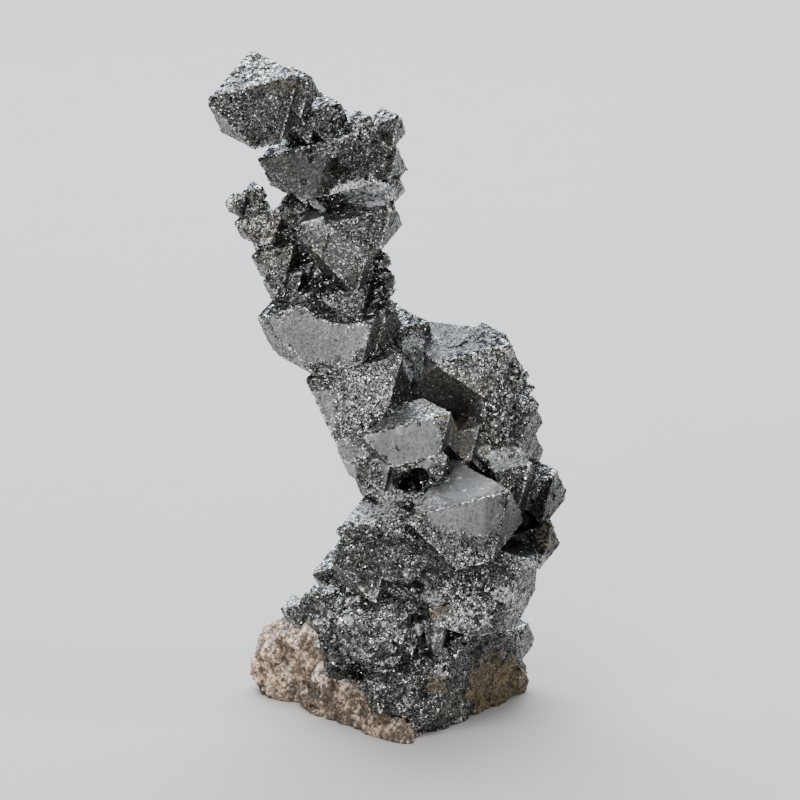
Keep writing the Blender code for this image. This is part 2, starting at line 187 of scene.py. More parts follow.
# Painted glints: parts where more cells are painted bright, as if their small crystals caught the
# light.
PAINTED_GLINT_PARTS = (
    (None, (13.4, 41.0), (3.4, 7.0), 0.5),
    (None, (-6.0, 73.0), (3.6, 2.2), 0.8),
    (None, (-3.6, 65.4), (4.0, 1.6), 0.8),
    (None, (-4.0, 63.0), (3.6, 3.4), 0.4),
    (None, (10.0, 14.6), (6.0, 3.4), 0.7),
    (None, (-4.5, 12.4), (5.0, 2.6), 0.35),
    (None, (-9.0, 12.4), (3.6, 2.8), 0.3),
    (None, (0.0, 3.0), (4.0, 2.6), 0.25),
    (None, (-17.0, 60.6), (3.6, 2.4), 0.5),
)


class CrystalSettings(bpy.types.PropertyGroup):
    """The large crystals' skin."""
    voxel: bpy.props.FloatProperty(
        name="Mesh size", description="Edge of the remeshed skin", default=0.18 * MM, min=0.1 * MM,
        precision=5, unit="LENGTH")
    grain: bpy.props.FloatProperty(
        name="Grain", description="Width of the drusy grains", default=0.42 * MM, precision=5,
        unit="LENGTH")
    relief: bpy.props.FloatProperty(
        name="Relief", description="Height of the drusy grains", default=0.055 * MM, precision=5,
        unit="LENGTH")
    plate: bpy.props.FloatProperty(
        name="Plate", description="Width of the growth plates", default=2.4 * MM, precision=5,
        unit="LENGTH")
    step: bpy.props.FloatProperty(
        name="Step", description="Height of the growth plates", default=0.16 * MM, precision=5,
        unit="LENGTH")
    lumps: bpy.props.FloatProperty(
        name="Lumps", description="Unevenness of the rounded masses", default=0.8 * MM,
        precision=5, unit="LENGTH")
    face_colour: bpy.props.FloatVectorProperty(
        name="Face", description="Smooth faces", subtype="COLOR", size=3,
        default=(0.172, 0.178, 0.183))
    skin_colour: bpy.props.FloatVectorProperty(
        name="Skin", description="Drusy skin", subtype="COLOR", size=3,
        default=(0.085, 0.086, 0.083))
    stain_colour: bpy.props.FloatVectorProperty(
        name="Stain", description="Iron stain", subtype="COLOR", size=3,
        default=(0.11, 0.083, 0.045))
    # The pale film's colour: dust on some parts, painted light on others.
    dust_and_painted_light_colour: bpy.props.FloatVectorProperty(
        name="Dust", description="Pale dust", subtype="COLOR", size=3,
        default=(0.46, 0.48, 0.50))


class DruseSettings(bpy.types.PropertyGroup):
    """The small crystals on the rough faces."""
    count: bpy.props.IntProperty(
        name="Count", description="Small crystals on each band", default=10000)
    smallest: bpy.props.FloatProperty(
        name="Smallest", description="Centre to corner of the smallest", default=0.07 * MM,
        precision=5, unit="LENGTH")
    largest: bpy.props.FloatProperty(
        name="Largest", description="Centre to corner of the largest", default=0.26 * MM,
        precision=5, unit="LENGTH")
    blocks: bpy.props.IntProperty(
        name="Blocks", description="Larger crystals on the foot's rounded masses", default=448)
    block: bpy.props.FloatProperty(
        name="Block", description="Centre to corner of the largest block", default=1.25 * MM,
        precision=5, unit="LENGTH")
    tilt: bpy.props.FloatProperty(
        name="Tilt", description="How far they lean out of the lattice",
        default=math.radians(14), subtype="ANGLE")


class RockSettings(bpy.types.PropertyGroup):
    """The rock and its grains."""
    voxel: bpy.props.FloatProperty(
        name="Mesh size", description="Edge of the remeshed rock", default=0.14 * MM, precision=5,
        unit="LENGTH")
    relief: bpy.props.FloatProperty(
        name="Relief", description="Height of the rock's lumps", default=0.55 * MM, precision=5,
        unit="LENGTH")
    cover: bpy.props.FloatProperty(
        name="Cover", description="How far the rock closes its gap to the crystals",
        default=0.3 * MM, precision=5, unit="LENGTH")
    grains: bpy.props.IntProperty(
        name="Grains", description="How many loose grains", default=2600)
    pink: bpy.props.FloatVectorProperty(
        name="Pink", description="Main colour", subtype="COLOR", size=3,
        default=(0.64, 0.42, 0.30))
    tan: bpy.props.FloatVectorProperty(
        name="Tan", description="Second colour", subtype="COLOR", size=3,
        default=(0.42, 0.295, 0.185))
    crust: bpy.props.FloatVectorProperty(
        name="Crust", description="Pale crust", subtype="COLOR", size=3,
        default=(0.80, 0.66, 0.56))
    dark: bpy.props.FloatVectorProperty(
        name="Dark", description="Dark specks", subtype="COLOR", size=3,
        default=(0.062, 0.052, 0.04))


class StageSettings(bpy.types.PropertyGroup):
    """Floor, light and camera."""
    floor: bpy.props.FloatVectorProperty(
        name="Floor", description="Floor colour", subtype="COLOR", size=3,
        default=(0.51, 0.493, 0.475))
    sky: bpy.props.FloatVectorProperty(
        name="Surroundings", description="Light from all round", subtype="COLOR", size=3,
        default=(0.165, 0.17, 0.178))
    back: bpy.props.FloatProperty(
        name="Back", description="Light behind and above, watts", default=9.0)
    over: bpy.props.FloatProperty(
        name="Over", description="Light overhead, watts", default=3.5)
    top: bpy.props.FloatProperty(
        name="Top", description="Light above the front, watts", default=2.8)
    front: bpy.props.FloatProperty(
        name="Front", description="Low light in front, watts", default=2.2)
    side: bpy.props.FloatProperty(
        name="Side", description="Light on the right, watts", default=1.8)
    lens: bpy.props.FloatProperty(
        name="Lens", description="Focal length, millimetres", default=400.0)
    frame_width: bpy.props.FloatProperty(
        name="Frame", description="Width of the picture at the specimen", default=100 * MM,
        unit="LENGTH")
    aim: bpy.props.FloatProperty(
        name="Aim", description="Height of the picture's centre in the viewer's plane",
        default=39.125 * MM, precision=5, unit="LENGTH")


# The floor's half width, its squares along a side and its level, in metres; the specimen's middle.
FLOOR_REACH, FLOOR_SQUARES, FLOOR_LEVEL = 3.0, 24, -0.00002
MIDDLE = Vector((0, 0, 0.04))
# The crystals' skin is cut into these, from the bottom up.
BANDS = ("foot", "lower", "middle", "upper", "top")


# Formulas of the place, for whole arrays of points in millimetres.

def cell_value(cells, seed):
    """A number from 0 to 1 for each whole-number cell: its indices times large odd numbers, mixed.

    The mixing shifts the bits, joins them with the unshifted ones and multiplies again.
    """
    whole = cells.astype(np.int64).astype(np.uint32)
    mixed = (whole[:, 0] * np.uint32(0x8DA6B343) ^ whole[:, 1] * np.uint32(0xD8163841)
             ^ whole[:, 2] * np.uint32(0xCB1AB31F) ^ np.uint32(seed * 0x9E3779B1 & 0xFFFFFFFF))
    for shift, factor in ((15, 0x2C1B3C6D), (12, 0x297A2D39)):
        mixed = (mixed ^ mixed >> np.uint32(shift)) * np.uint32(factor)
    return (mixed ^ mixed >> np.uint32(15)) / 2.0 ** 32


def smooth_noise(points, size, seed):
    """Noise from -1 to 1: random values at a grid's corners, blended by a quintic between them."""
    scaled = points / size
    base = np.floor(scaled)
    part = scaled - base
    part = part * part * part * (part * (part * 6 - 15) + 10)
    total = np.zeros(len(points))
    for corner in np.ndindex(2, 2, 2):
        weight = np.prod(np.where(corner, part, 1 - part), axis=1)
        total += weight * cell_value(base + corner, seed)
    return total * 2 - 1


def fractal(points, size, seed, octaves=3):
    """Smooth noise with finer noise added, each octave half as wide and half as high."""
    return sum(smooth_noise(points, size / 2 ** i, seed + i) / 2 ** i for i in range(octaves))


def nearest_seed(points, size, seed, octahedral=True):
    """Distance to the nearest of scattered seeds, in cells, and that seed's own value.

    The octahedral distance is the sum of the three offsets along the lattice's axes, whose shells
    are octahedra; the other is the straight distance.
    """
    scaled = (points @ LATTICE if octahedral else points) / size
    base = np.floor(scaled)
    nearest = np.full(len(points), np.inf)
    value = np.zeros(len(points))
    for offset in np.ndindex(3, 3, 3):
        cells = base + offset - 1
        place = np.stack([cell_value(cells, seed + axis) for axis in range(3)], axis=1)
        apart = np.abs(cells + place - scaled)
        distance = apart.sum(axis=1) if octahedral else np.sqrt((apart ** 2).sum(axis=1))
        closer = distance < nearest
        nearest[closer] = distance[closer]
        value[closer] = cell_value(cells[closer], seed + 7)
    return nearest, value


def mounds(points, size, seed, level, rim, least, octahedral=True):
    """Raised cells of all heights.

    Each falls from its level at its seed by the distance from it, as far as the rim, and is then
    scaled by the least share plus its seed's own value.
    """
    near, own = nearest_seed(points, size, seed, octahedral)
    return (level - np.minimum(near, rim)) * (least + own)


def ramp(values, low, high):
    """0 below low, 1 above high, and a smooth S between."""
    part = np.clip((values - low) / (high - low), 0, 1)
    return part * part * (3 - 2 * part)


def in_view(points):
    """(across, up) of points in the viewer's plane."""
    return points @ VIEW[:2].T


def patch(points, centre, halves, seed):
    """1 inside an ellipse in the viewer's plane and 0 outside, with an uneven edge."""
    reach = np.sqrt((((in_view(points) - centre) / halves) ** 2).sum(axis=1))
    reach += 0.28 * smooth_noise(points, 1.6, seed) + 0.14 * smooth_noise(points, 0.6, seed + 5)
    return 1 - ramp(reach, 0.8, 1.1)


def facing_viewer(normals):
    """1 on surfaces turned to the viewer and 0 on those turned away."""
    return ramp(normals @ VIEW[2], -0.05, 0.1)


def on_face(normals, name):
    """1 where a surface lies along the named crystal face, else 0."""
    return ramp(normals @ FACES[name], *ALONG_FACE)


def parts(points, normals, table, seed):
    """A table's parts one by one: each amount inside its patch and along its face."""
    for i, (face, centre, halves, amount) in enumerate(table):
        part = patch(points, centre, halves, seed + i) * amount
        yield part * on_face(normals, face) if face else part


def spots(points, normals, table, seed):
    """The amounts of a table's parts, added up where they overlap, on the viewer's side."""
    return sum(parts(points, normals, table, seed)) * facing_viewer(normals)


def smooth_mask(points, normals):
    """How smooth the skin is, from 0 to 1: in the smooth parts, and by chance on the far side."""
    near = facing_viewer(normals)
    mask = np.max(list(parts(points, normals, SMOOTH, seed=40)), axis=0) * near
    flat = ramp((normals @ ALL_FACES.T).max(axis=1), *ALONG_FACE)
    chance = smooth_noise(points, size=8.0, seed=90) + 0.3 * smooth_noise(points, size=1.5, seed=91)
    return np.maximum(mask, 0.85 * ramp(chance, 0.0, 0.3) * flat * (1 - near))


def far_side(points, normals, size, seed, low, high):
    """Uneven patches of that size from 0 to 1 on the surfaces turned away from the viewer."""
    level = smooth_noise(points, size, seed) + 0.35 * smooth_noise(points, size / 5, seed + 1)
    return ramp(level, low, high) * (1 - facing_viewer(normals))


# Meshes.

def arrays_of(obj):
    """Vertices in millimetres, vertex normals and edges of a mesh object, as arrays."""
    mesh = obj.data
    points = np.empty(len(mesh.vertices) * 3)
    mesh.vertices.foreach_get("co", points)
    normals = np.empty(len(mesh.vertices) * 3)
    mesh.vertex_normals.foreach_get("vector", normals)
    edges = np.empty(len(mesh.edges) * 2, np.int64)
    mesh.edges.foreach_get("vertices", edges)
    return points.reshape(-1, 3) / MM, normals.reshape(-1, 3), edges.reshape(-1, 2)


def set_points(obj, points):
    """Puts points in millimetres back into a mesh."""
    obj.data.vertices.foreach_set("co", (points * MM).ravel())
    obj.data.update()


def neighbour_mean(values, edges):
    """Each vertex's mean over the vertices that it shares an edge with."""
    count = len(values)
    first, second = edges.T
    degree = np.bincount(first, minlength=count) + np.bincount(second, minlength=count)
    columns = values.reshape(count, -1)
    total = np.stack([np.bincount(first, column[second], count)
                      + np.bincount(second, column[first], count)
                      for column in columns.T], axis=1)
    return (total / np.maximum(degree, 1)[:, None]).reshape(values.shape)


def neighbour_most(values, edges):
    """Each vertex's own value or the largest of those that it shares an edge with."""
    first, second = edges.T
    most = values.copy()
    np.maximum.at(most, first, values[second])
    np.maximum.at(most, second, values[first])
    return most


def relaxed(points, edges, rounds, share):
    """Points moved a share of the way to their neighbours' mean, several times over."""
    for _ in range(rounds):
        points = points + (neighbour_mean(points, edges) - points) * share
    return points


def put_attribute(obj, name, values):
    """Stores one number for each vertex under a name that the materials read."""
    layer = obj.data.attributes.new(name, "FLOAT", "POINT")
    layer.data.foreach_set("value", values.astype(np.float32))


def new_object(name):
    """An object at the origin with an empty mesh."""
    obj = bpy.data.objects.new(name, bpy.data.meshes.new(name))
    bpy.context.scene.collection.objects.link(obj)
    return obj


def fine_copy(node, name, voxel):
    """A closed, evenly meshed copy of a solid, as a new object at the origin."""
    bm = bmesh.new()
    bm.from_mesh(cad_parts[node].data)
    bmesh.ops.remove_doubles(bm, verts=bm.verts, dist=1e-7)
    obj = new_object(name)
    bm.to_mesh(obj.data)
    bm.free()
    remesh = obj.modifiers.new("Fine mesh", "REMESH")
    remesh.mode = "VOXEL"
    remesh.voxel_size = voxel
    remesh.use_smooth_shade = False
    graph = bpy.context.evaluated_depsgraph_get()
    mesh = bpy.data.meshes.new_from_object(obj.evaluated_get(graph))
    obj.modifiers.clear()
    obj.data = mesh
    return obj


def band(obj, name, low, high):
    """A closed copy of the part of an object between two heights, in metres, with flat caps."""
    bm = bmesh.new()
    bm.from_mesh(obj.data)
    for height, normal in ((low, (0, 0, -1)), (high, (0, 0, 1))):
        if height is None:
            continue
        cut = bmesh.ops.bisect_plane(
            bm, geom=bm.verts[:] + bm.edges[:] + bm.faces[:], dist=1e-8,
            plane_co=(0, 0, height), plane_no=normal, clear_outer=True)
        rim = [item for item in cut["geom_cut"] if isinstance(item, bmesh.types.BMEdge)]
        bmesh.ops.triangle_fill(bm, edges=rim, use_beauty=True, normal=normal)
    made = new_object(name)
    bm.to_mesh(made.data)
    bm.free()
    return made


def finish_piece(obj, surface, smooth=False):
    """Gives a piece its material and slot, and lets it ride on the specimen."""
    obj.data.materials.clear()
    obj.data.materials.append(surface)
    obj.data.polygons.foreach_set("use_smooth", np.full(len(obj.data.polygons), smooth))
    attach(obj, "root")
    return obj


def scattered(name, corners, faces, places, turns, sizes, values):
    """One mesh of many copies of a small closed shape.

    Each copy's vertices are the shape's corners times its size, turned by its matrix and moved to
    its place, worked out for all copies at once.
    """
    points = np.einsum("nij,vj->nvi", turns, corners) * sizes[:, None, None] + places[:, None, :]
    offsets = (np.arange(len(places)) * len(corners))[:, None, None]
    obj = new_object(name)
    obj.data.from_pydata((points.reshape(-1, 3) * MM).tolist(), [],
                         (offsets + faces).reshape(-1, 3).tolist())
    obj.data.update()
    for key, numbers in values.items():
        put_attribute(obj, key, np.repeat(numbers, len(corners)))
    return obj


def leaning(count, tilt, draw):
    """Rotation matrices by small angles about random axes: Rodrigues' formula for whole arrays."""
    axis = draw.normal(size=(count, 3))
    axis /= np.linalg.norm(axis, axis=1)[:, None]
    angle = draw.normal(scale=tilt, size=count)
    cross = np.zeros((count, 3, 3))
    cross[:, 0, 1], cross[:, 0, 2], cross[:, 1, 2] = -axis[:, 2], axis[:, 1], -axis[:, 0]
    cross -= cross.transpose(0, 2, 1)
    return (np.eye(3) + np.sin(angle)[:, None, None] * cross
            + (1 - np.cos(angle))[:, None, None] * (cross @ cross))


# Node helpers, and the effects that several materials share.

def add_node(tree, kind, values=None, **settings):
    """A shader node with its settings and inputs set; an input given a socket is linked."""
    made = tree.nodes.new(kind)
    for key, value in settings.items():
        setattr(made, key, value)
    for key, value in (values or {}).items():
        if isinstance(value, bpy.types.NodeSocket):
            tree.links.new(value, made.inputs[key])
        else:
            made.inputs[key].default_value = value
    return made


def math_node(tree, operation, *values):
    """The result of a Math node."""
    return add_node(tree, "ShaderNodeMath", dict(enumerate(values)), operation=operation).outputs[0]


def product(tree, value, *factors):
    """A value times each of the factors."""
    for factor in factors:
        value = math_node(tree, "MULTIPLY", value, factor)
    return value


def vector_math(tree, operation, values):
    """The vector that a Vector Math node gives."""
    return add_node(tree, "ShaderNodeVectorMath", values, operation=operation).outputs[0]


def mix_value(tree, factor, first, second):
    """The result of a Mix node on two values."""
    return add_node(tree, "ShaderNodeMix", {0: factor, 2: first, 3: second},
                    data_type="FLOAT").outputs[0]


def mix_colour(tree, factor, first, second, blend="MIX"):
    """The result of a Mix node on two colours."""
    first, second = (value if isinstance(value, bpy.types.NodeSocket) else (*value, 1)
                     for value in (first, second))
    return add_node(tree, "ShaderNodeMix", {0: factor, 6: first, 7: second},
                    data_type="RGBA", blend_type=blend).outputs[2]


def dimmed(tree, colour, value):
    """A colour times a value."""
    grey = add_node(tree, "ShaderNodeCombineColor", {0: value, 1: value, 2: value})
    return mix_colour(tree, 1.0, colour, grey.outputs[0], "MULTIPLY")


def noise_node(tree, place, scale, detail, roughness=0.5):
    """The value of a Noise Texture node, with its scale as waves to the metre."""
    return add_node(tree, "ShaderNodeTexNoise", {
        "Vector": place, "Scale": scale, "Detail": detail, "Roughness": roughness}).outputs[0]


def remap(tree, value, low, high, to_low=0.0, to_high=1.0):
    """A value's smooth ramp between two limits."""
    return add_node(tree, "ShaderNodeMapRange", {
        "Value": value, "From Min": low, "From Max": high, "To Min": to_low, "To Max": to_high},
        interpolation_type="SMOOTHSTEP").outputs[0]


def effect(name, inputs, outputs):
    """A new node group with its named sockets, and the sockets of its input and output nodes."""
    group = bpy.data.node_groups.new(name, "ShaderNodeTree")
    for label, kind, default in inputs:
        socket = group.interface.new_socket(label, in_out="INPUT", socket_type="NodeSocket" + kind)
        if default is not None:
            socket.default_value = default
    for label, kind in outputs:
        group.interface.new_socket(label, in_out="OUTPUT", socket_type="NodeSocket" + kind)
    return (group, group.nodes.new("NodeGroupInput").outputs,
            group.nodes.new("NodeGroupOutput").inputs)


def glint_effect():
    """Tiny crystals side by side: cells of the lattice, each with its face tipped its own way."""
    group, given, out = effect(
        "crystal_glint",
        [("Vector", "Vector", None), ("Cells", "Float", 3000.0), ("Tip", "Float", 0.6)],
        [("Normal", "Vector"), ("Value", "Float")])
    turned = add_node(group, "ShaderNodeMapping", {
        "Vector": given["Vector"], "Rotation": LATTICE_TURN}, vector_type="TEXTURE")
    cells = add_node(group, "ShaderNodeTexVoronoi", {
        "Vector": turned.outputs[0], "Scale": given["Cells"]}, distance="MANHATTAN")
    tip = vector_math(group, "SUBTRACT", {0: cells.outputs["Color"], 1: (0.5, 0.5, 0.5)})
    tip = vector_math(group, "SCALE", {0: tip, "Scale": given["Tip"]})
    surface = add_node(group, "ShaderNodeNewGeometry").outputs["Normal"]
    tipped = vector_math(group, "ADD", {0: surface, 1: tip})
    group.links.new(vector_math(group, "NORMALIZE", {0: tipped}), out["Normal"])
    value = add_node(group, "ShaderNodeSeparateColor", {"Color": cells.outputs["Color"]})
    group.links.new(value.outputs[1], out["Value"])
    return group


def film_effect():
    """A broken film of one colour over another: noise eats into a mask."""
    group, given, out = effect(
        "broken_film",
        [("Vector", "Vector", None), ("Amount", "Float", 0.5), ("Size", "Float", 900.0),
         ("Under", "Color", None), ("Film", "Color", None)],
        [("Color", "Color"), ("Mask", "Float")])
    noise = noise_node(group, given["Vector"], given["Size"], 5.0, 0.65)
    level = math_node(group, "ADD", given["Amount"],
                      math_node(group, "MULTIPLY_ADD", noise, 3.0, -1.5))
    # where there is next to no film, the noise alone makes none
    mask = product(group, remap(group, level, 0.35, 1.1),
                   math_node(group, "GREATER_THAN", given["Amount"], 0.02))
    group.links.new(mix_colour(group, mask, given["Under"], given["Film"]), out["Color"])
    group.links.new(mask, out["Mask"])
    return group


def grain_effect():
    """Fine grain: a height and a light-and-dark value from noise and round cells."""
    group, given, out = effect(
        "fine_grain", [("Vector", "Vector", None), ("Size", "Float", 2500.0)],
        [("Height", "Float"), ("Value", "Float")])
    noise = noise_node(group, given["Vector"], given["Size"], 4.0, 0.6)
    cells = add_node(group, "ShaderNodeTexVoronoi", {
        "Vector": given["Vector"], "Scale": given["Size"]})
    hollow = product(group, cells.outputs["Distance"], 0.6)
    group.links.new(math_node(group, "SUBTRACT", noise, hollow), out["Height"])
    group.links.new(noise, out["Value"])
    return group


EFFECTS = {"crystal_glint": glint_effect, "broken_film": film_effect, "fine_grain": grain_effect}


def effect_node(tree, name, values):
    """Places one of the shared effects in a material, and makes it first if it isn't there yet."""
    group = bpy.data.node_groups.get(name) or EFFECTS[name]()
    return add_node(tree, "ShaderNodeGroup", values, node_tree=group).outputs


def new_material(name):
    """A new material with its tree, its Principled shader's inputs and the Object coordinates."""
    made = bpy.data.materials.new(name)
    made.use_nodes = True
    tree = made.node_tree
    place = tree.nodes.new("ShaderNodeTexCoord").outputs["Object"]
    return made, tree, tree.nodes["Principled BSDF"].inputs, place


def attribute(tree, name):
    """The number stored for each vertex under a name."""
    return add_node(tree, "ShaderNodeAttribute", attribute_name=name).outputs["Fac"]


def hematite_material(name, cells, tip, sharp):
    """Steel-grey crystal skin: glinting grains where it is rough, satin where it is smooth.

    Cells is how many of the lattice's cells lie along a metre, tip how far their faces lean, and
    sharp the roughness of the glossier ones.
    """
    colours = bpy.context.scene.specimen_crystals
    made, tree, shader, place = new_material(name)
    smooth, stain, dust_and_painted_light, height, painted_light_and_tone, painted_glints, ridge = (attribute(tree, key) for key in (
        "smooth", "stain", "dust_and_painted_light", "height", "painted_light_and_tone", "painted_glints", "ridge"))
    rough = math_node(tree, "SUBTRACT", 1.0, smooth)
    lean = math_node(tree, "MULTIPLY_ADD", rough, tip, 0.05)
    glint = effect_node(tree, "crystal_glint", {"Vector": place, "Cells": cells, "Tip": lean})
    grain = effect_node(tree, "fine_grain", {"Vector": place, "Size": 2600.0})
    # Painted glints: which cells shine is by chance, with more of them on the painted-glint parts,
    # in crowds and flocks.
    level = math_node(tree, "MULTIPLY_ADD", painted_glints, 0.22, glint["Value"])
    crowd = remap(tree, noise_node(tree, place, 420.0, 3.0), 0.35, 0.65, -0.10, 0.06)
    flock = remap(tree, noise_node(tree, place, 130.0, 2.0), 0.35, 0.65, -0.07, 0.05)
    level = math_node(tree, "ADD", math_node(tree, "ADD", level, crowd), flock)
    glare = product(tree, remap(tree, level, 0.86, 0.93),
                    remap(tree, rough, 0.0, 0.6, 0.05, 1.0))
    spark = math_node(tree, "ADD", remap(tree, glint["Value"], 0.0, 0.46, 0.04, 1.0),
                      remap(tree, level, 0.45, 0.88, 0.0, 1.15))
    # Painted shade: low places, pits and creases are darker by the skin's height.
    spark = product(tree, spark, remap(tree, height, 0.1, 0.7, 0.62, 1.2))
    satin = product(tree, remap(tree, glint["Value"], 0.0, 0.08, 0.5, 1.0),
                    remap(tree, grain["Value"], 0.32, 0.60, 0.74, 1.12))
    # Painted shade: the painted glints have dull dark gaps between their grains.
    gaps = product(tree, remap(tree, noise_node(tree, place, 1300.0, 5.0), 0.43, 0.56, 1.0, 0.0),
                   painted_glints)
    # Painted light and shade: glinting cells four times brighter, ridges painted up to 2.2 times
    # brighter, the painted-light parts brighter or darker by their amount, painted-glint parts up
    # to half as bright again, the gaps darker, and drift at random.
    shade = math_node(tree, "MULTIPLY_ADD", glare, 4.0, mix_value(tree, rough, satin, spark))
    shade = product(
        tree, shade, remap(tree, noise_node(tree, place, 220.0, 5.0), 0.3, 0.7, 0.78, 1.18),
        remap(tree, ridge, 0.0, 1.0, 1.0, 2.2), math_node(tree, "ADD", painted_light_and_tone, 1.0),
        remap(tree, gaps, 0.0, 0.9, 1.0, 0.1), remap(tree, painted_glints, 0.0, 1.0, 1.0, 1.5))
    base = dimmed(tree, mix_colour(tree, smooth, colours.skin_colour, colours.face_colour), shade)
    # Iron stain, and a pale film that is dust on some parts and painted light on others, lie on the
    # cells in broken films, each cell in its own strength; painted shade darkens both where the
    # skin is low.
    speck = product(tree, remap(tree, glint["Value"], 0.0, 1.0, 0.2, 1.7),
                    remap(tree, height, 0.1, 0.6, 0.5, 1.15))
    film = effect_node(tree, "broken_film", {
        "Vector": place, "Amount": stain, "Size": 2200.0, "Under": base,
        "Film": dimmed(tree, colours.stain_colour, speck)})
    dust_and_light_film = effect_node(tree, "broken_film", {
        "Vector": place, "Amount": dust_and_painted_light, "Size": 2600.0, "Under": film["Color"],
        "Film": dimmed(tree, colours.dust_and_painted_light_colour, speck)})
    tree.links.new(dust_and_light_film["Color"], shader["Base Color"])
    cover = math_node(tree, "MAXIMUM", film["Mask"], product(tree, dust_and_light_film["Mask"], 0.7))
    tree.links.new(remap(tree, cover, 0.0, 1.0, 0.9, 0.25), shader["Metallic"])
    gloss = mix_value(tree, gaps, remap(tree, glint["Value"], 0.0, 0.55, 0.6, sharp), 0.85)
    gloss = mix_value(tree, smooth, gloss, remap(tree, grain["Value"], 0.3, 0.7, 0.30, 0.42))
    gloss = mix_value(tree, glare, gloss, 0.16)
    tree.links.new(mix_value(tree, cover, gloss, 0.7), shader["Roughness"])
    relief = product(tree, grain["Height"], remap(tree, rough, 0.0, 1.0, 0.2, 1.0))
    bump = add_node(tree, "ShaderNodeBump", {
        "Strength": 0.4, "Distance": 0.0001, "Height": relief, "Normal": glint["Normal"]})
    tree.links.new(bump.outputs[0], shader["Normal"])
    return made


def rock_material(name, speck):
    """Pinkish granular rock, matt: two tones and a pale crust, with clusters of white and of dark.

    Speck is how strongly the dark grains show.
    """
    colours = bpy.context.scene.specimen_rock
    made, tree, shader, place = new_material(name)
    tone, crust, stain = (attribute(tree, key) for key in ("tone", "crust", "stain"))
    broad = noise_node(tree, place, 260.0, 4.0)
    fine = noise_node(tree, place, 1700.0, 4.0, 0.7)
    cloud = noise_node(tree, place, 620.0, 3.0)
    base = mix_colour(tree, remap(tree, broad, 0.40, 0.60), colours.pink, colours.tan)
    level = math_node(tree, "MULTIPLY_ADD", crust, 0.14, fine)
    base = mix_colour(tree, remap(tree, level, 0.50, 0.66), base, colours.crust)
    cells = add_node(tree, "ShaderNodeTexVoronoi", {"Vector": place, "Scale": 4000.0})
    each = add_node(tree, "ShaderNodeSeparateColor", {"Color": cells.outputs["Color"]}).outputs
    # Painted shade: the rock's shade-and-tone attribute darkens hollows, undersides and the lowest
    # parts.
    light = product(tree, remap(tree, each[0], 0.0, 1.0, 0.4, 1.5),
                    remap(tree, tone, 0.0, 1.0, 0.3, 1.3),
                    remap(tree, fine, 0.34, 0.56, 0.36, 1.12),
                    remap(tree, cloud, 0.36, 0.62, 0.5, 1.2))
    # The dark film: grey patches, and painted shade under the ledge.
    film = effect_node(tree, "broken_film", {
        "Vector": place, "Amount": stain, "Size": 2200.0, "Under": dimmed(tree, base, light),
        "Film": (*colours.dark, 1)})
    dark = product(tree, remap(tree, each[1], 0.66, 0.78), speck,
                   remap(tree, cloud, 0.42, 0.54, 1.0, 0.15))
    white = product(tree, remap(tree, each[2], 0.62, 0.80),
                    remap(tree, cloud, 0.50, 0.60, 0.08, 0.8),
                    remap(tree, film["Mask"], 0.0, 0.6, 1.0, 0.0))
    dotted = mix_colour(tree, dark, film["Color"], colours.dark)
    tree.links.new(mix_colour(tree, white, dotted, colours.crust), shader["Base Color"])
    grain = effect_node(tree, "fine_grain", {"Vector": place, "Size": 3400.0})
    tree.links.new(remap(tree, grain["Value"], 0.3, 0.7, 0.7, 0.95), shader["Roughness"])
    bump = add_node(tree, "ShaderNodeBump", {
        "Strength": 0.6, "Distance": 0.00012, "Height": grain["Height"]})
    tree.links.new(bump.outputs[0], shader["Normal"])
    return made


# The pieces.

def masses_and_edges(points, normals, edges):
    """Where the skin is a rounded mass, a ridge and a crease, each from 0 to 1.

    A mass is what lies more than six vertices from every crystal plane. The bend is how far a
    vertex stands out of its neighbours' mean along its normal, in millimetres.
    """
    near_plane = ramp((normals @ ALL_FACES.T).max(axis=1), *IN_PLANE)
    for _ in range(6):
        near_plane = neighbour_most(near_plane, edges)
    for _ in range(3):
        near_plane = neighbour_mean(near_plane, edges)
    lumpy = 1 - ramp(near_plane, 0.4, 0.9)
    bend = ((points - neighbour_mean(points, edges)) * normals).sum(axis=1)
    bend = neighbour_mean(bend, edges)
    return lumpy, ramp(bend, 0.006, 0.02) * (1 - lumpy), ramp(-bend, 0.006, 0.02)


def skin_relief(points, settings, rough, lumpy, crease):
    """How far the skin rises along its normals, in millimetres, and its height from 0 to 1.

    Grains and knobs are octahedral mounds. Plates are flat cells of the lattice with sloping rims,
    each at its own height. Waves are fractal noise. Pits open round scattered seeds in warped
    space, more of them where the waves are high.
    """
    grains = mounds(points, settings.grain / MM, seed=3, level=0.75, rim=1.3, least=0.5)
    knobs = mounds(points, KNOB, seed=13, level=0.7, rim=1.3, least=0.3)
    near, own = nearest_seed(points, settings.plate / MM, seed=23)
    plates = (own - 0.5) * ramp(0.9 - near, -0.1, 0.12)
    waves = fractal(points, WAVE, seed=33, octaves=4)
    warp = np.stack([smooth_noise(points, 0.7, 43 + axis) for axis in range(3)], axis=1)
    near, own = nearest_seed(points + 0.5 * warp, PIT_SPACING, seed=53, octahedral=False)
    pits = ramp(0.36 - near, 0.0, 0.15) * (own < 0.10 + 0.12 * waves)
    rise = settings.relief / MM * grains * rough * (1 + lumpy)
    rise += 0.5 * knobs * (lumpy + 0.05 * rough)
    rise += settings.step / MM * plates * (0.1 + 0.9 * rough) * (1 - 0.7 * lumpy)
    rise += 0.4 * settings.lumps / MM * waves * lumpy + 0.05 * waves * rough
    rise -= 0.2 * pits * (1 - lumpy)
    # Painted shade: the height darkens pits, creases and low places in the material.
    height = 0.5 + 0.45 * grains * rough + 0.5 * knobs * lumpy - 0.8 * pits - 0.35 * crease
    return rise, np.clip(height, 0, 1)


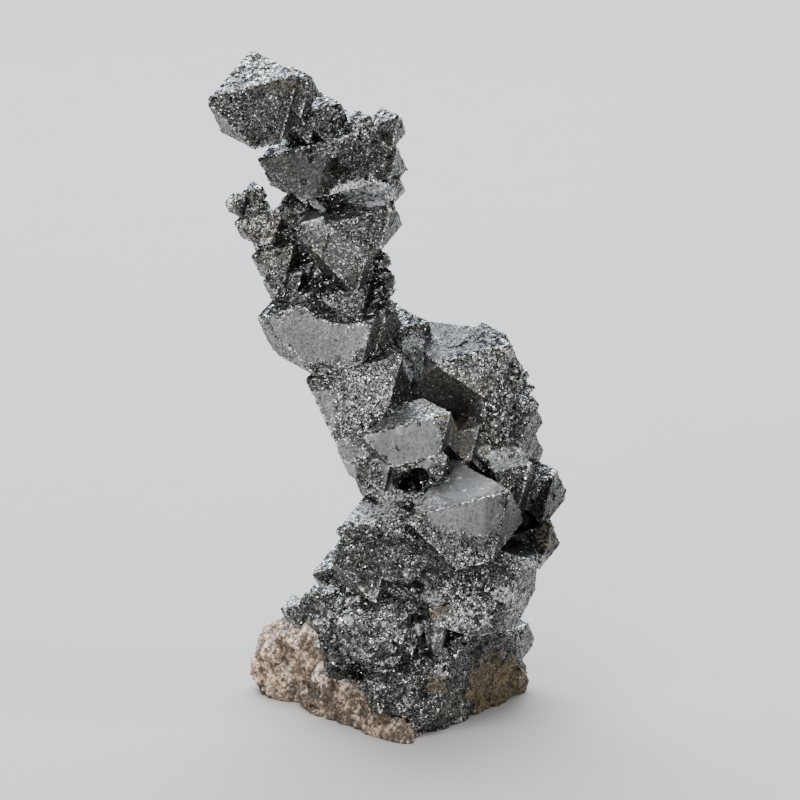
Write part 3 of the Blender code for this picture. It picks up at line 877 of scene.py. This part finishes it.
class SPECIMEN_OT_crystals(bpy.types.Operator):
    """Skin the large crystals and the druse masses, in closed bands"""
    bl_idname = "specimen.crystals"
    bl_label = "Crystals"

    def execute(self, context):
        settings = context.scene.specimen_crystals
        skin = fine_copy("hematite_crystals", "crystal_skin", settings.voxel)
        points, normals, edges = arrays_of(skin)
        lumpy, ridge, crease = masses_and_edges(points, normals, edges)
        set_points(skin, relaxed(points, edges, rounds=4, share=(0.5 * lumpy)[:, None]))
        points, normals, edges = arrays_of(skin)
        smooth = smooth_mask(points, normals) * (1 - lumpy)
        smooth = neighbour_mean(smooth, edges) * (1 - 0.3 * ridge)
        rise, height = skin_relief(points, settings, 1 - smooth, lumpy, crease)
        points += normals * rise[:, None]
        points[:, 2] = np.maximum(points[:, 2], 0)
        set_points(skin, points)
        # Painted glints: on the table's parts, on roofs, which face the lights, on patches of the
        # far side and, below, on ridges.
        painted_glints = np.maximum.reduce([
            spots(points, normals, PAINTED_GLINT_PARTS, seed=140), 0.75 * on_face(normals, "roof"),
            0.8 * far_side(points, normals, size=5.0, seed=200, low=-0.1, high=0.5)])
        stain = spots(points, normals, STAINED, seed=60)
        stain += 0.5 * far_side(points, normals, size=7.0, seed=210, low=0.15, high=0.6)
        # Painted light and shade: the table's parts brighter or darker, and brighter patches at
        # random on the far side.
        painted_light_and_tone = spots(points, normals, PAINTED_LIGHT, seed=100)
        painted_light_and_tone += 1.1 * far_side(points, normals, size=9.0, seed=220, low=-0.5, high=0.6)
        looks = {"smooth": smooth, "lumpy": lumpy, "ridge": ridge, "height": height,
                 "painted_glints": np.maximum(painted_glints * (1 - smooth), 0.8 * ridge), "stain": stain,
                 "painted_light_and_tone": np.clip(painted_light_and_tone, -0.9, 2.2),
                 "dust_and_painted_light": spots(points, normals, DUST_AND_PAINTED_LIGHT, seed=80)}
        for name, values in looks.items():
            put_attribute(skin, name, values)
        surface = hematite_material("hematite_skin", cells=5600.0, tip=0.7, sharp=0.24)
        shares = np.arange(1, len(BANDS)) / len(BANDS)
        levels = [None, *np.quantile(points[:, 2], shares) * MM, None]
        for name, low, high in zip(BANDS, levels, levels[1:]):
            piece = band(skin, "crystals_" + name, low, high)
            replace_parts(finish_piece(piece, surface), "hematite_crystals")
        bpy.data.objects.remove(skin)
        return {"FINISHED"}


def surface_places(obj, count, keys, weigh, draw):
    """Random places on a mesh, drawn by face area times a weight.

    Gives the chosen faces' middles in millimetres, their normals and the named values there.
    """
    mesh = obj.data
    faces = len(mesh.polygons)
    middles, normals, areas = np.empty(faces * 3), np.empty(faces * 3), np.empty(faces)
    starts = np.empty(faces, np.int64)
    corners = np.empty(len(mesh.loops), np.int64)
    for key, store in (("center", middles), ("normal", normals), ("area", areas),
                       ("loop_start", starts)):
        mesh.polygons.foreach_get(key, store)
    mesh.loops.foreach_get("vertex_index", corners)
    middles, normals = middles.reshape(-1, 3) / MM, normals.reshape(-1, 3)
    values = {}
    for key in keys:
        store = np.empty(len(mesh.vertices))
        mesh.attributes[key].data.foreach_get("value", store)
        values[key] = store[corners[starts]]
    weight = areas * weigh(middles, values)
    count = min(count, int((weight > 0).sum()))
    chosen = draw.choice(faces, size=count, p=weight / weight.sum(), replace=False)
    return middles[chosen], normals[chosen], {key: store[chosen] for key, store in values.items()}


OCTAHEDRON = np.array([(1, 0, 0), (-1, 0, 0), (0, 1, 0), (0, -1, 0), (0, 0, 1), (0, 0, -1)], float)
OCTAHEDRON_FACES = np.array([(0, 2, 4), (2, 1, 4), (1, 3, 4), (3, 0, 4),
                             (2, 0, 5), (1, 2, 5), (3, 1, 5), (0, 3, 5)])


def octahedra(name, places, normals, sizes, sunk, tilt, looks, draw):
    """A mesh of octahedra near the lattice's direction, each sunk by a share of its size."""
    count = len(places)
    places = places - normals * (sizes * sunk)[:, None]
    places[:, 2] = np.maximum(places[:, 2], sizes)
    turns = leaning(count, tilt, draw) @ LATTICE
    # A quarter of the small crystals get painted glints at random.
    looks = {**looks, "smooth": np.zeros(count), "height": 0.3 + 0.6 * draw.random(count),
             "painted_glints": np.maximum(looks["painted_glints"], draw.random(count) > 0.75)}
    return scattered(name, OCTAHEDRON, OCTAHEDRON_FACES, places, turns, sizes, looks)


def rough_faces(points, looks):
    """Where small crystals grow: on rough skin in clusters, most where glints are painted, and on
    ridges.
    """
    cluster = 0.4 + 0.6 * ramp(smooth_noise(points, size=3.0, seed=95), -0.1, 0.5)
    bare = (1 - looks["smooth"]) ** 2 * cluster * (1 + looks["painted_glints"]) + 0.5 * looks["ridge"]
    return bare * (points[:, 2] > 0.4)


def rounded_masses(points, looks):
    """Where the larger crystals grow: on the masses, clear of the floor."""
    return looks["lumpy"] * (points[:, 2] > 1.5)


class SPECIMEN_OT_druse(bpy.types.Operator):
    """Scatter small octahedra over the rough faces and larger ones over the rounded masses"""
    bl_idname = "specimen.druse"
    bl_label = "Small crystals"

    def execute(self, context):
        settings = context.scene.specimen_druse
        draw = np.random.default_rng(11)
        surface = hematite_material("hematite_druse", cells=3000.0, tip=0.25, sharp=0.2)
        span = settings.largest / settings.smallest
        kept = ("stain", "dust_and_painted_light", "painted_light_and_tone", "painted_glints")
        keys = ("smooth", "lumpy", "ridge", *kept)
        for name in BANDS:
            skin = context.scene.objects["crystals_" + name]
            places, normals, looks = surface_places(skin, settings.count, keys, rough_faces, draw)
            # most are small, but fewer of them where glints are painted
            small = 2.6 - 1.4 * looks["painted_glints"]
            sizes = settings.smallest / MM * span ** (draw.random(len(places)) ** small)
            sizes *= 1 + 0.5 * looks["painted_glints"]
            piece = octahedra("druse_" + name, places, normals, sizes, 0.5, settings.tilt,
                              {key: looks[key] for key in kept}, draw)
            finish_piece(piece, surface)
            blocks = settings.blocks if name == "foot" else settings.blocks // 4
            places, normals, looks = surface_places(skin, blocks, keys, rounded_masses, draw)
            sizes = settings.block / MM * (0.3 + 0.7 * draw.random(len(places)) ** 2)
            piece = octahedra("blocks_" + name, places, normals, sizes, 0.62, settings.tilt,
                              {key: looks[key] for key in kept}, draw)
            finish_piece(piece, surface)
        return {"FINISHED"}


def rock_relief(points):
    """How far the rock rises along its normals, as a share of the relief.

    It is the sum of round lobes and nubs, of layers parted by clefts, which lie where noise
    squeezed flat crosses zero, and of broad waves.
    """
    lobes = mounds(points, LOBE, seed=103, level=0.62, rim=1.0, least=0.3, octahedral=False)
    nubs = mounds(points, NUB, seed=113, level=0.6, rim=1.0, least=0.4, octahedral=False)
    layered = points * np.array((1.0, 1.0, 1.7))
    clefts = np.abs(smooth_noise(layered, LAYER, seed=123))
    clefts += 0.4 * np.abs(smooth_noise(layered, 1.4, seed=124))
    return (0.3 * lobes + 0.36 * nubs + 1.7 * (np.minimum(clefts, 0.65) - 0.34)
            + 0.8 * fractal(points, 5.0, seed=183))


class SPECIMEN_OT_rock(bpy.types.Operator):
    """Roughen the rock and close its gap to the crystals"""
    bl_idname = "specimen.rock"
    bl_label = "Rock"

    def execute(self, context):
        settings = context.scene.specimen_rock
        rock = fine_copy("rock_matrix", "rock", settings.voxel)
        points, _, edges = arrays_of(rock)
        set_points(rock, relaxed(points, edges, rounds=10, share=0.5))
        points, normals, _ = arrays_of(rock)
        rise = settings.relief / MM * rock_relief(points)
        to_crystals = ramp(normals @ np.array((0.75, 0.1, 0.65)), 0.0, 0.6)
        points += normals * (rise + settings.cover / MM * (0.2 + to_crystals))[:, None]
        points[:, 2] = np.maximum(points[:, 2], 0)
        set_points(rock, points)
        # painted shade: hollows, undersides and the lowest millimetres are darker, with tone at
        # random
        tone = 0.75 * ramp(rise - 0.44 * fractal(points, 5.0, seed=183), -0.28, 0.10) + 0.2
        tone += 0.25 * fractal(points, 1.6, seed=133, octaves=2)
        lit = ramp(normals[:, 2] + 0.25 * fractal(points, 2.0, seed=193, octaves=2), -0.45, 0.5)
        raised = ramp(in_view(points)[:, 1], 0.5, 6.5)
        tone *= (0.4 + 0.6 * raised) * (0.4 + 0.6 * lit)
        crust = ramp(normals[:, 2] + 0.8 * fractal(points, 2.4, seed=163, octaves=2), 0.0, 0.9)
        # the grey film: near the crystals and in cloudy patches; under the ledge, partly a
        # grey-green patch and partly painted shade
        high = ramp(points[:, 2] + 0.9 * fractal(points, 3.0, seed=143), 5.5, 9.0)
        cloudy = smooth_noise(points, size=2.2, seed=153) + 0.5 * smooth_noise(points, 0.8, 154)
        ledge = 0.35 * patch(points, (-11.8, 4.7), (2.8, 1.1), seed=173)
        ledge += patch(points, (-11.2, 2.5), (3.2, 1.5), seed=174)
        film = np.max([0.5 * high, 0.7 * ramp(cloudy, 0.05, 0.6), 0.8 * ledge], axis=0)
        put_attribute(rock, "tone", np.clip(tone, 0, 1))
        # The crust is held back on the undersides, with the painted shade.
        put_attribute(rock, "crust", crust * lit)
        put_attribute(rock, "stain", film)
        piece = finish_piece(rock, rock_material("rock_surface", speck=0.75), smooth=True)
        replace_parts(piece, "rock_matrix")
        return {"FINISHED"}


def off_floor(points, looks):
    """Everywhere alike but next to the floor."""
    return points[:, 2] > 0.5


class SPECIMEN_OT_rock_grains(bpy.types.Operator):
    """Scatter loose mineral grains over the rock"""
    bl_idname = "specimen.rock_grains"
    bl_label = "Rock grains"

    def execute(self, context):
        settings = context.scene.specimen_rock
        count = settings.grains
        draw = np.random.default_rng(12)
        rock = context.scene.objects["rock"]
        places, normals, looks = surface_places(rock, count, ("tone", "crust", "stain"), off_floor,
                                                draw)
        sizes = 0.08 + 0.30 * draw.random(count) ** 4
        places -= normals * (sizes * 0.25)[:, None]
        places[:, 2] = np.maximum(places[:, 2], sizes)
        bm = bmesh.new()
        bmesh.ops.create_icosphere(bm, subdivisions=1, radius=1.0)
        corners = np.array([vert.co[:] for vert in bm.verts])
        faces = np.array([[vert.index for vert in face.verts] for face in bm.faces])
        bm.free()
        stretch = np.eye(3) * (0.7 + 0.6 * draw.random((count, 3)))[:, None, :]
        turns = leaning(count, 1.2, draw) @ stretch
        looks = {"tone": looks["tone"] * (0.5 + 0.9 * draw.random(count)),
                 "crust": looks["crust"] * draw.random(count) * 1.5,
                 "stain": np.maximum(looks["stain"], 0.45 * (draw.random(count) > 0.75))}
        piece = scattered("rock_grains", corners, faces, places, turns, sizes, looks)
        finish_piece(piece, rock_material("rock_grain", speck=0.25))
        return {"FINISHED"}


def soft_light(name, place, width, height, power, colour=(1, 1, 1)):
    """A rectangular lamp aimed at the middle of the specimen."""
    data = bpy.data.lights.new(name, "AREA")
    data.shape = "RECTANGLE"
    data.size, data.size_y, data.energy, data.color = width, height, power, colour
    lamp = bpy.data.objects.new(name, data)
    bpy.context.scene.collection.objects.link(lamp)
    lamp.location = place
    lamp.visible_camera = False
    lamp.rotation_euler = (Vector(place) - MIDDLE).to_track_quat("Z", "Y").to_euler()


class SPECIMEN_OT_stage(bpy.types.Operator):
    """Lay the floor, hang the lights and set up the camera"""
    bl_idname = "specimen.stage"
    bl_label = "Stage"

    def execute(self, context):
        settings = context.scene.specimen_stage
        self.lay_floor(settings.floor)
        world = bpy.data.worlds.new("surroundings")
        context.scene.world = world
        world.use_nodes = True
        world.node_tree.nodes["Background"].inputs[0].default_value = (*settings.sky, 1)
        soft_light("back_light", (-0.02, 0.50, 0.45), 0.85, 0.36, settings.back, (0.80, 0.90, 1.0))
        soft_light("over_light", (-0.10, 0.16, 0.62), 0.45, 0.34, settings.over)
        soft_light("top_light", (-0.12, -0.26, 0.62), 0.36, 0.30, settings.top)
        soft_light("front_light", (-0.25, -0.62, 0.14), 0.30, 0.30, settings.front,
                   (1.0, 0.985, 0.96))
        soft_light("side_light", (0.55, -0.20, 0.30), 0.30, 0.30, settings.side)
        data = bpy.data.cameras.new("camera")
        data.lens = settings.lens
        data.clip_end = 50
        camera = bpy.data.objects.new("camera", data)
        context.scene.collection.objects.link(camera)
        up, toward = Vector(VIEW[1]), Vector(VIEW[2])
        distance = settings.lens / data.sensor_width * settings.frame_width
        camera.location = up * settings.aim + toward * distance
        camera.rotation_euler = toward.to_track_quat("Z", "Y").to_euler()
        context.scene.camera = camera
        return {"FINISHED"}

    def lay_floor(self, colour):
        """A flat sheet of squares, faintly uneven in tone."""
        side = np.linspace(-FLOOR_REACH, FLOOR_REACH, FLOOR_SQUARES + 1)
        across, deep = np.meshgrid(side, side)
        points = np.stack([across.ravel(), deep.ravel(), np.full(across.size, FLOOR_LEVEL)], axis=1)
        row = FLOOR_SQUARES + 1
        start = (np.arange(FLOOR_SQUARES)[:, None] * row + np.arange(FLOOR_SQUARES)).ravel()
        squares = np.stack([start, start + 1, start + row + 1, start + row], axis=1)
        floor = new_object("floor")
        floor.data.from_pydata(points.tolist(), [], squares.tolist())
        made, tree, shader, place = new_material("floor_card")
        tint = tuple(channel * 0.97 for channel in colour)
        tree.links.new(mix_colour(tree, noise_node(tree, place, 60.0, 3.0), colour, tint),
                       shader["Base Color"])
        shader["Roughness"].default_value = 0.9
        floor.data.materials.append(made)


OPERATORS = (SPECIMEN_OT_crystals, SPECIMEN_OT_druse, SPECIMEN_OT_rock, SPECIMEN_OT_rock_grains,
             SPECIMEN_OT_stage)
SETTINGS = {"specimen_crystals": CrystalSettings, "specimen_druse": DruseSettings,
            "specimen_rock": RockSettings, "specimen_stage": StageSettings}


class SPECIMEN_PT_panel(bpy.types.Panel):
    """The specimen's settings and steps"""
    bl_idname = "SPECIMEN_PT_panel"
    bl_label = "Specimen"
    bl_space_type = "VIEW_3D"
    bl_region_type = "UI"
    bl_category = "Specimen"

    def draw(self, context):
        for name, group in SETTINGS.items():
            box = self.layout.box()
            for key in group.__annotations__:
                box.prop(getattr(context.scene, name), key)
        for step in OPERATORS:
            self.layout.operator(step.bl_idname)


def register():
    for kind in (*SETTINGS.values(), *OPERATORS, SPECIMEN_PT_panel):
        bpy.utils.register_class(kind)
    for name, group in SETTINGS.items():
        setattr(bpy.types.Scene, name, bpy.props.PointerProperty(type=group))


def unregister():
    for name in SETTINGS:
        delattr(bpy.types.Scene, name)
    for kind in reversed((*SETTINGS.values(), *OPERATORS, SPECIMEN_PT_panel)):
        bpy.utils.unregister_class(kind)


def main():
    """Builds every piece and the stage."""
    register()
    bpy.ops.specimen.crystals()
    bpy.ops.specimen.druse()
    bpy.ops.specimen.rock()
    bpy.ops.specimen.rock_grains()
    bpy.ops.specimen.stage()


if __name__ == "__main__":
    main()
